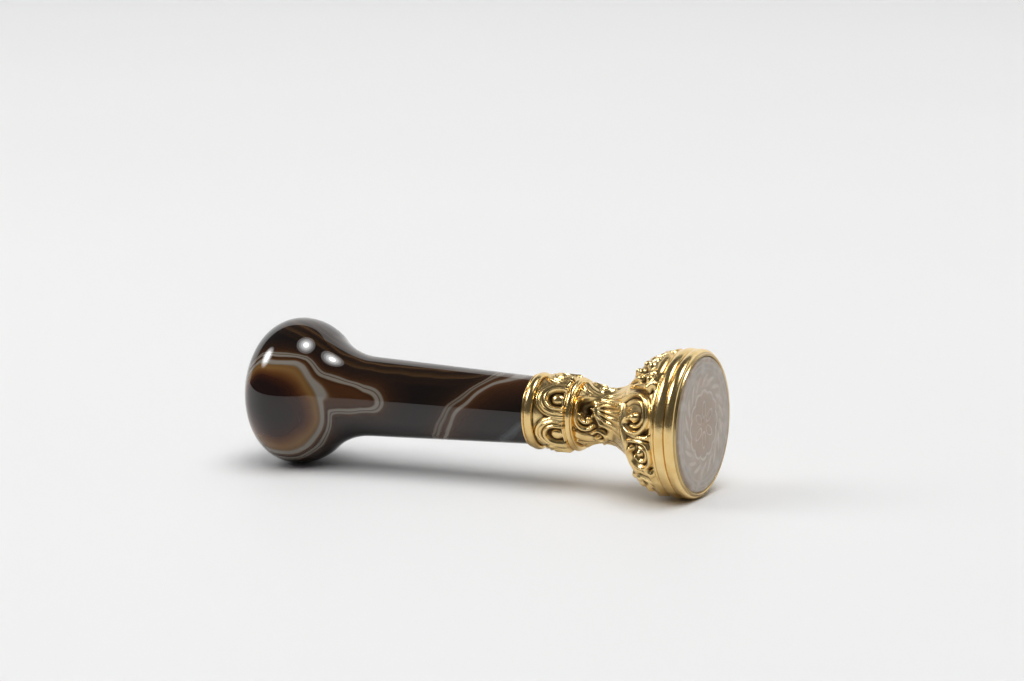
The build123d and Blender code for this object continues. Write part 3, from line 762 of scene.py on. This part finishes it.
# Each place is a turn in degrees and a station in mm, with the half widths and heights at the two ends
BELL_RIDGES = (
    # First scroll: its outer and inner ridge
    (
        [
            (57, 11.6), (54.8, 10.4), (54.6, 9.0), (57.5, 7.5), (62.4, 6.4), (68.5, 5.75), (74.4, 5.5),
            (80.4, 5.6), (85.5, 6.1), (89.4, 7.0), (91, 8.2), (90, 9.4), (86.5, 10.2), (81.5, 10.3),
            (78, 9.8),
        ],
        (0.48, 0.52), (0.9, 1.15),
    ),
    (
        [
            (63, 10.6), (61, 9.6), (61.4, 8.6), (63.4, 7.5), (67.2, 6.8), (72.7, 6.4), (78.7, 6.45),
            (82.9, 7.0), (85, 7.9), (84.6, 8.8),
        ],
        (0.36, 0.4), (0.5, 0.85),
    ),
    # Second scroll: its outer and inner ridge
    (
        [
            (101, 9.8), (98.8, 8.6), (97.8, 7.2), (98.8, 6.0), (102.6, 5.35), (108.9, 5.15), (116, 5.4),
            (121.6, 6.2), (124.6, 7.4), (123.4, 8.6), (119, 9.4), (112, 9.6), (106.5, 9.0),
        ],
        (0.46, 0.52), (0.8, 1.1),
    ),
    (
        [(103.2, 7.2), (105, 6.1), (110.6, 5.95), (115.6, 6.5), (117.2, 7.4), (114, 8.3)],
        (0.34, 0.38), (0.6, 0.8),
    ),
    # Long leaf edge from the crown over the second scroll, and a leaf between the scrolls
    (
        [
            (60, 11.9), (69, 11.8), (78, 11.7), (88, 11.5), (98, 11.1), (107, 10.6), (117, 10.3), (127, 9.8),
            (134, 8.6),
        ],
        (0.5, 0.6), (0.45, 0.9),
    ),
    ([(93.6, 10.2), (94.4, 8.6), (94, 7.0), (93.6, 5.5)], (0.35, 0.5), (0.5, 0.95)),
    # Mound of the spray, its blades and the leaf edge that joins their ends
    ([(147, 10.4), (147.5, 9.0), (148, 7.6), (148, 6.2), (148, 5.2)], (1.4, 4.0), (0.35, 1.15)),
    ([(134, 10.9), (132, 9.8), (131, 8.4), (128.5, 6.6), (127, 5.4)], (0.45, 0.8), (0.3, 1.2)),
    ([(140, 11.0), (139.5, 9.8), (139, 8.4), (137.5, 6.6), (136, 5.2)], (0.5, 0.85), (0.45, 1.35)),
    ([(154, 11.0), (155.5, 9.8), (157, 8.4), (158.5, 6.6), (158, 5.2)], (0.5, 0.85), (0.45, 1.4)),
    ([(160, 10.9), (163, 9.8), (165.5, 8.6), (168, 7.0), (168.5, 5.4)], (0.45, 0.8), (0.3, 1.15)),
    (
        [(124, 6.3), (129, 5.5), (137, 5.2), (148, 5.1), (159, 5.2), (167, 5.5), (172, 6.3)],
        (0.6, 0.6), (1.2, 1.2),
    ),
)
# Beads and berries are a turn and a station, the radius and the height in mm
BELL_BEADS = (
    (77.2, 8.3, 0.85, 1.2), (108.6, 7.1, 0.62, 1.0), (141, 8.3, 0.85, 1.45), (149, 6.7, 0.95, 1.65),
    (152.3, 8.5, 0.9, 1.5), (146, 9.7, 0.8, 1.3), (163.5, 6.2, 0.85, 1.5), (160.8, 8.2, 0.8, 1.4),
    (141.5, 6.1, 0.8, 1.5), (92, 5.3, 0.35, 0.7),
)
BELL_PATHS = [(smoothed(unrolled(places, BELL_GIRTH)), *sizes) for places, *sizes in BELL_RIDGES]
foot_back = (face_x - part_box("scroll_bell")[1].x) / MM
bell_length = bell_back - foot_back
crown_share = (bell_length**2 + CROWN_RADIUS**2 - BELL_SKIRT_RADIUS**2) / (2 * bell_length)
dome_middle = foot_back + crown_share
dome_radius = sqrt(BELL_SKIRT_RADIUS**2 + crown_share**2)
skirt_angle = degrees(atan2(BELL_SKIRT_RADIUS, -crown_share))
crown_angle = degrees(atan2(CROWN_RADIUS, bell_back - dome_middle))


def bell_relief(turn, station, radius):
    """Scrolls about beads, and sprays of leaves and berries, on a ground sunk between foot and crown."""
    low_side = np.clip((station - foot_back - GROUND_START) / GROUND_RAMP, 0, 1)
    high_side = np.clip((bell_back - GROUND_END - station) / GROUND_RUNOUT, 0, 1)
    ground = -GROUND_SINK * low_side * high_side
    heights = [np.zeros_like(turn)]
    for shift in (-1, 0, 1):
        unit_turn = folded(turn, BELL_TURN, UNIT_COUNT) + BELL_TURN + shift * 360 / UNIT_COUNT
        across = np.radians(unit_turn) * BELL_GIRTH
        for path, half_widths, path_heights in BELL_PATHS:
            heights.append(trail(across, station, path, half_widths, path_heights))
        for bead_turn, bead_station, size, height in BELL_BEADS:
            place = unrolled([(bead_turn, bead_station)], BELL_GIRTH)[0]
            heights.append(height * boss(across, station, place, (size, size)))
    return np.minimum(ground + np.maximum.reduce(heights), BELL_REACH - radius)


crown_bore = CROWN_RADIUS - CROWN_INSET
bell_outline = (
    arc((dome_middle, 0), dome_radius, skirt_angle, crown_angle, BELL_ROWS)
    + [(bell_back, crown_bore), (bell_back - CROWN_WALL, crown_bore)]
    + [(foot_back, BELL_SKIRT_RADIUS - BELL_WALL)]
)
bell = turned("scroll_bell_chased", bell_outline, steps=720)
carve(bell, bell_relief, wear=4)
mark_recess_shade(bell, rounds=45)
dress(bell, "scroll_bell", chased)


# Tie rod, washer and nut: a plain iron rod up the middle of the mount, cemented into the handle. The washer
# and the square nut on its end, inside the bell, draw the pieces tight.
def wrought_iron():
    """Old wrought iron: dark grey, dull, with brown rust in patches."""
    material, tree, shader = new_material("wrought_iron", {"Metallic": 0.8, "Roughness": 0.5})
    place = add_node(tree, "ShaderNodeTexCoord").outputs["Object"]
    patch = add_node(
        tree, "ShaderNodeTexNoise", None, {"Vector": place, "Scale": 0.8 / MM, "Detail": 5.0}
    ).outputs["Fac"]
    tone = add_node(
        tree, "ShaderNodeValToRGB", None, {"Fac": patch},
        [(0.35, "#4a4845"), (0.55, "#3d3936"), (0.7, "#5a3a26")],
    ).outputs["Color"]
    tree.links.new(tone, shader.inputs["Base Color"])
    return material


iron = wrought_iron()
for name in ("tie_rod", "tie_washer", "tie_nut"):
    finish_node(name, iron)


# Pitch fill: black pitch with brick dust, poured hot into the bell. Set hard, it stiffens the casting and
# gives the foot its weight.
def poured_pitch():
    """Poured pitch: nearly black, with a soft gloss and a little brown dust."""
    material, tree, shader = new_material("poured_pitch", {"Roughness": 0.4})
    place = add_node(tree, "ShaderNodeTexCoord").outputs["Object"]
    dust = add_node(
        tree, "ShaderNodeTexNoise", None, {"Vector": place, "Scale": 2.5 / MM, "Detail": 4.0}
    ).outputs["Fac"]
    tone = add_node(
        tree, "ShaderNodeValToRGB", None, {"Fac": dust}, [(0.5, "#15110e"), (0.75, "#3a251a")]
    ).outputs["Color"]
    tree.links.new(tone, shader.inputs["Base Color"])
    return material


finish_node("pitch_fill", poured_pitch())

# Foot ring: a turned and burnished ring, soldered under the bell's skirt. It has one rounded reed with a
# small step behind it.
RING_NECK = 12.1
REED_FULLNESS = 0.8
STEP_WIDTH = 0.5
FOOT_BORE = 9.6
bezel_back = (face_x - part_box("bezel")[0].x) / MM
ring_radius = (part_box("foot_ring")[1].z - axis_z) / MM
reed_back = foot_back - STEP_WIDTH


def reed(start, end):
    """Outline of a rounded reed between two stations."""
    half = (end - start) / 2
    rise = ring_radius - RING_NECK
    return [
        (start + half - half * cos(radians(turn)), RING_NECK + rise * sin(radians(turn)) ** REED_FULLNESS)
        for turn in range(0, 181, 10)
    ]


foot_outline = (
    [(bezel_back, FOOT_BORE)]
    + reed(bezel_back, reed_back)
    + arc((reed_back + STEP_WIDTH / 2, RING_NECK), STEP_WIDTH / 2, 180, 0, 6)[1:]
    + [(foot_back, FOOT_BORE)]
)
foot = turned("foot_ring_reeded", foot_outline, steps=256)
mark_recess_shade(foot, rounds=3)
dress(foot, "foot_ring", burnished)

# Backing plate: a plain disc of gilt brass, set in a rebate of the foot ring. It closes the bell behind
# the stone.
finish_node("backing_plate", burnished)

# Bezel: the front ring, turned with a second reed. Its thin lip was rubbed over the stone's edge with a
# burnisher, and old soil and painted shade darken it towards the stone.
BEZEL_BORE = 11.65
LIP_FRONT = 0.15
LIP_SLOPE = 0.15
LIP_ROOT = 0.7
LIP_BACK = 0.6
LIP_INSIDE = 11.52
LIP_SEAT = 11.74
LIP_ROUND = 0.2
LIP_DARKENED_REACH = 11.95
LIP_DARKENING_FADE = 0.1
bezel_outline = (
    [(LIP_FRONT + LIP_SLOPE, LIP_INSIDE)]
    + arc((LIP_FRONT + LIP_ROUND, LIP_SEAT), LIP_ROUND, 180, 90, 4)
    + [(LIP_BACK, RING_NECK)]
    + reed(LIP_BACK, bezel_back)[1:]
    + [(bezel_back, BEZEL_BORE), (LIP_ROOT, BEZEL_BORE)]
)
bezel = turned("bezel_rubbed_over", bezel_outline, steps=256)
bezel_places, _ = surface(bezel)
bezel_reach = np.hypot(bezel_places[:, 1], bezel_places[:, 2] - axis_z) / MM
# Old soil and painted shade darken the lip towards the stone.
lip_grime_and_shade = np.clip((LIP_DARKENED_REACH - bezel_reach) / LIP_DARKENING_FADE, 0, 1)
mark_recess_shade(bezel, rounds=3, grime_and_shade=lip_grime_and_shade)
dress(bezel, "bezel", burnished)

# Stone cement: a thin bed of shellac between the backing plate and the stone, run in hot and pressed flat
# as the stone was set.
finish_node("stone_cement", shellac)


# Seal stone: a flat disc of grey chalcedony with a bevelled edge, polished, and then cut with a drill and
# a wheel. The cutting is plain and shallow: a flower in a lobed frame, a wreath and a border.
def polished_chalcedony():
    """Polished chalcedony: cloudy mauve grey, brown in the middle, frosted and pale where it is cut."""
    material, tree, shader = new_material(
        "polished_chalcedony", {"IOR": 1.54, "Subsurface Weight": 0.25, "Subsurface Scale": 1.5 * MM}
    )
    engraved = add_node(tree, "ShaderNodeAttribute", {"attribute_name": "engraved"}).outputs["Fac"]
    rim = add_node(tree, "ShaderNodeAttribute", {"attribute_name": "from_middle"}).outputs["Fac"]
    place = add_node(tree, "ShaderNodeTexCoord").outputs["Object"]
    cloud = add_node(
        tree, "ShaderNodeTexNoise", None, {"Vector": place, "Scale": 0.12 / MM, "Detail": 4.0}
    ).outputs["Fac"]
    blown = add_node(tree, "ShaderNodeMath", {"operation": "SUBTRACT"}, {0: cloud, 1: 0.5}).outputs["Value"]
    zoned = add_node(
        tree, "ShaderNodeMath", {"operation": "MULTIPLY_ADD"}, {0: blown, 1: 0.45, 2: rim}
    ).outputs["Value"]
    tone = add_node(
        tree, "ShaderNodeValToRGB", None, {"Fac": zoned},
        [
            (0.0, "#ab8d73"), (0.3, "#ab927b"), (0.5, "#ac9885"), (0.72, "#ad9d8b"), (0.84, "#a69b8f"),
            (0.92, "#aa9a88"), (1.0, "#a29180"),
        ],
    ).outputs["Color"]

    # Milky patches lie round the brown middle
    milk = add_node(
        tree, "ShaderNodeTexNoise", None, {"Vector": place, "Scale": 0.5 / MM, "Detail": 5.0}
    ).outputs["Fac"]
    patches = add_node(
        tree, "ShaderNodeMapRange", None, {"Value": milk, "From Min": 0.45, "From Max": 0.68, "To Max": 0.5}
    ).outputs["Result"]
    outside = add_node(
        tree, "ShaderNodeMapRange", None, {"Value": rim, "From Min": 0.42, "From Max": 0.55}
    ).outputs["Result"]
    milky = add_node(
        tree, "ShaderNodeMath", {"operation": "MULTIPLY"}, {0: patches, 1: outside}
    ).outputs["Value"]
    pale = add_node(
        tree, "ShaderNodeMath", {"operation": "MAXIMUM"}, {0: milky, 1: engraved}
    ).outputs["Value"]
    frosted = add_node(
        tree, "ShaderNodeMix", {"data_type": "RGBA"}, {"Factor": pale, 6: tone, 7: linear("#d8cec2")}
    ).outputs[2]
    tree.links.new(frosted, shader.inputs["Base Color"])
    sheen = add_node(
        tree, "ShaderNodeMapRange", None, {"Value": engraved, "To Min": 0.12, "To Max": 0.55}
    ).outputs["Result"]
    tree.links.new(sheen, shader.inputs["Roughness"])
    return material


STONE_RADIUS = 11.6
STONE_FLAT = 11.1
STONE_BEVEL = 0.7
BEVEL_BULGE = 0.07
BEVEL_STEPS = 8
STONE_ROWS = 120
CUT_DEPTH = 0.06
FRAME_LOBES = 12
FRAME_RADIUS = 5.4
FRAME_LOBE_RISE = 0.5
FRAME_LINE = 0.32
BORDER_RADII = (9.5, 10.4)
BORDER_LINE = 0.2
BORDER_DEPTH = 0.4
LEAVES = 18
LEAF_LEAN = 9
LEAF_HALF = (0.75, 1.2)
LEAF_EDGE = 1.1
LEAF_SIDE = 0.5
LEAF_DEPTH = 0.6
WREATH_RADIUS = 7.6
PETALS = 6
PETAL_RADIUS = 2.6
PETAL_HALF = (0.9, 1.7)
PETAL_EDGE = 0.8
PETAL_LINE = 0.2
PETAL_DEPTH = 0.5
stone_back = (face_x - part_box("seal_stone")[0].x) / MM


def stone_relief(turn, station, radius):
    """Shallow cutting: a flower in a frame of lobes, a wreath of leaves and two border lines."""
    lobed = FRAME_LOBE_RISE * np.abs(np.cos(np.radians(turn * FRAME_LOBES / 2)))
    cuts = [ridge(radius - FRAME_RADIUS - lobed, FRAME_LINE)]
    for border in BORDER_RADII:
        cuts.append(BORDER_DEPTH * ridge(radius - border, BORDER_LINE))
    outwards = radius - WREATH_RADIUS
    leaf_across = np.radians(folded(turn + outwards * LEAF_LEAN, 0, LEAVES)) * radius
    leaf = np.hypot(leaf_across / LEAF_HALF[0], outwards / LEAF_HALF[1])
    cuts.append(LEAF_DEPTH * np.clip((LEAF_EDGE - leaf) / LEAF_SIDE, 0, 1))
    petal_across = np.radians(folded(turn, 0, PETALS)) * radius
    petal = np.hypot(petal_across / PETAL_HALF[0], (radius - PETAL_RADIUS) / PETAL_HALF[1])
    cuts.append(PETAL_DEPTH * ridge(petal - PETAL_EDGE, PETAL_LINE))
    return -CUT_DEPTH * np.maximum.reduce(cuts) * (station < STONE_BEVEL / 2)


bevel_start = Vector((0, STONE_FLAT))
bevel_run = Vector((STONE_BEVEL, STONE_RADIUS - STONE_FLAT))
bevel_out = Vector((-bevel_run.y, bevel_run.x)).normalized()
bevel_shares = [step / BEVEL_STEPS for step in range(1, BEVEL_STEPS)]
stone_outline = (
    [(0, STONE_FLAT * row / STONE_ROWS) for row in range(STONE_ROWS + 1)]
    + [
        tuple(bevel_start + bevel_run * share + bevel_out * BEVEL_BULGE * 4 * share * (1 - share))
        for share in bevel_shares
    ]
    + [(STONE_BEVEL, STONE_RADIUS), (stone_back, STONE_RADIUS), (stone_back, 0)]
)
stone = turned("seal_stone_engraved", stone_outline, steps=480, ring=False)
cut = carve(stone, stone_relief)
mark(stone, "engraved", evened(stone, -cut / CUT_DEPTH, rounds=2))
stone_places, _ = surface(stone)
stone_reach = np.hypot(stone_places[:, 1], stone_places[:, 2] - axis_z) / MM
mark(stone, "from_middle", stone_reach / STONE_RADIUS)
dress(stone, "seal_stone", polished_chalcedony())

# Studio: a white table that runs far to every side, a pale wall behind it that only shows in the polish,
# and a dark room above. The table and the polished surfaces have lamps of their own.
FLOOR_REACH = 6.0
WALL_PLACE = 1.2
WALL_HEIGHT = 1.35
WALL_RADIANCE = 0.9
ROOM_RADIANCE = 0.08
# Painted table top: an even, nearly dull white with very faint clouds
floor_material, floor_tree, floor_shader = new_material("white_table", {"Roughness": 0.6})
floor_shader.inputs["Specular IOR Level"].default_value = 0.2
floor_place = add_node(floor_tree, "ShaderNodeTexCoord").outputs["Object"]
floor_cloud = add_node(
    floor_tree, "ShaderNodeTexNoise", None, {"Vector": floor_place, "Scale": 4.0, "Detail": 2.0}
).outputs["Fac"]
floor_tone = add_node(
    floor_tree, "ShaderNodeValToRGB", None, {"Fac": floor_cloud}, [(0.3, "#ededed"), (0.7, "#efefef")]
).outputs["Color"]
floor_tree.links.new(floor_tone, floor_shader.inputs["Base Color"])
stage = bmesh.new()
bmesh.ops.create_grid(stage, x_segments=1, y_segments=1, size=FLOOR_REACH)
stage_mesh = bpy.data.meshes.new("white_table")
stage.to_mesh(stage_mesh)
stage.free()
stage_mesh.materials.append(floor_material)
table = bpy.data.objects.new("white_table", stage_mesh)
bpy.context.scene.collection.objects.link(table)


def lamp(name, place, turn, shape, size, radiance, on_table):
    """A studio lamp of an even radiance, which lights dull surfaces or else only shows in the polish."""
    light = bpy.data.lights.new(name, "AREA")
    light.shape = shape
    light.size, light.size_y = size
    area = size[0] * size[1] * (pi / 4 if shape == "DISK" else 1)
    light.energy = radiance * pi * area
    holder = bpy.data.objects.new(name, light)
    holder.location = place
    holder.rotation_euler = turn
    holder.visible_diffuse = on_table
    holder.visible_glossy = not on_table
    bpy.context.scene.collection.objects.link(holder)


# Each has an azimuth, an elevation and an angular radius in degrees, a distance in metres, a radiance, and
# whether it lights the table
LAMPS = (
    ("front_lamp", -62, 62, 20, 6.0, 3.4, True),
    ("high_lamp", 14, 76, 18, 2.5, 2.9, True),
    ("left_lamp", -152, 40, 22, 1.6, 2.0, True),
    ("back_fill", 115, 68, 42, 1.4, 0.75, True),
    ("high_lamp_glow", 14, 71, 16.5, 2.45, 2.0, False),
    ("high_lamp_shine", 14, 71, 12.5, 2.4, 3.0, False),
    ("high_lamp_bright", 14, 71, 9.0, 2.35, 5.0, False),
    ("high_lamp_core", 14, 71, 5.0, 2.3, 16.0, False),
    ("left_lamp_glow", -161, 40, 14.5, 2.45, 2.0, False),
    ("left_lamp_shine", -161, 40, 12.0, 2.4, 4.0, False),
    ("left_lamp_bright", -161, 40, 9.0, 2.35, 6.0, False),
    ("left_lamp_core", -161, 40, 6.0, 2.3, 14.0, False),
)
for name, azimuth, elevation, spread, distance, radiance, on_table in LAMPS:
    level = cos(radians(elevation))
    way = Vector((level * cos(radians(azimuth)), level * sin(radians(azimuth)), sin(radians(elevation))))
    width = 2 * distance * sin(radians(spread))
    turn = way.to_track_quat("Z", "Y").to_euler()
    lamp(name, way * distance, turn, "DISK", (width, width), radiance, on_table)
lamp(
    "pale_wall", (0, WALL_PLACE, WALL_HEIGHT / 2), (radians(-90), 0, 0), "RECTANGLE",
    (2 * FLOOR_REACH, WALL_HEIGHT), WALL_RADIANCE, False,
)

world = bpy.data.worlds.new("dark_room")
world.use_nodes = True
world.node_tree.nodes["Background"].inputs["Color"].default_value = linear("#ffffff")
world.node_tree.nodes["Background"].inputs["Strength"].default_value = ROOM_RADIANCE
bpy.context.scene.world = world
bpy.context.scene.view_settings.view_transform = "Standard"

# Camera: a long lens from the front right, looking a little down, as the photograph was taken. Its place
# is in mm, and its lens is fitted to the photograph's width in pixels.
CAMERA_PLACE = (325.78, -693.18, 157.62)
CAMERA_YAW = 24.698
CAMERA_PITCH = 9.902
FOCAL_PIXELS = 4550
IMAGE_WIDTH = 1024
SENSOR_WIDTH = 36
camera = bpy.data.cameras.new("photo_camera")
camera.sensor_width = SENSOR_WIDTH
camera.lens = FOCAL_PIXELS / IMAGE_WIDTH * SENSOR_WIDTH
holder = bpy.data.objects.new("photo_camera", camera)
holder.location = [part * MM for part in CAMERA_PLACE]
holder.rotation_euler = (radians(90 - CAMERA_PITCH), 0, radians(CAMERA_YAW))
bpy.context.scene.collection.objects.link(holder)
bpy.context.scene.camera = holder
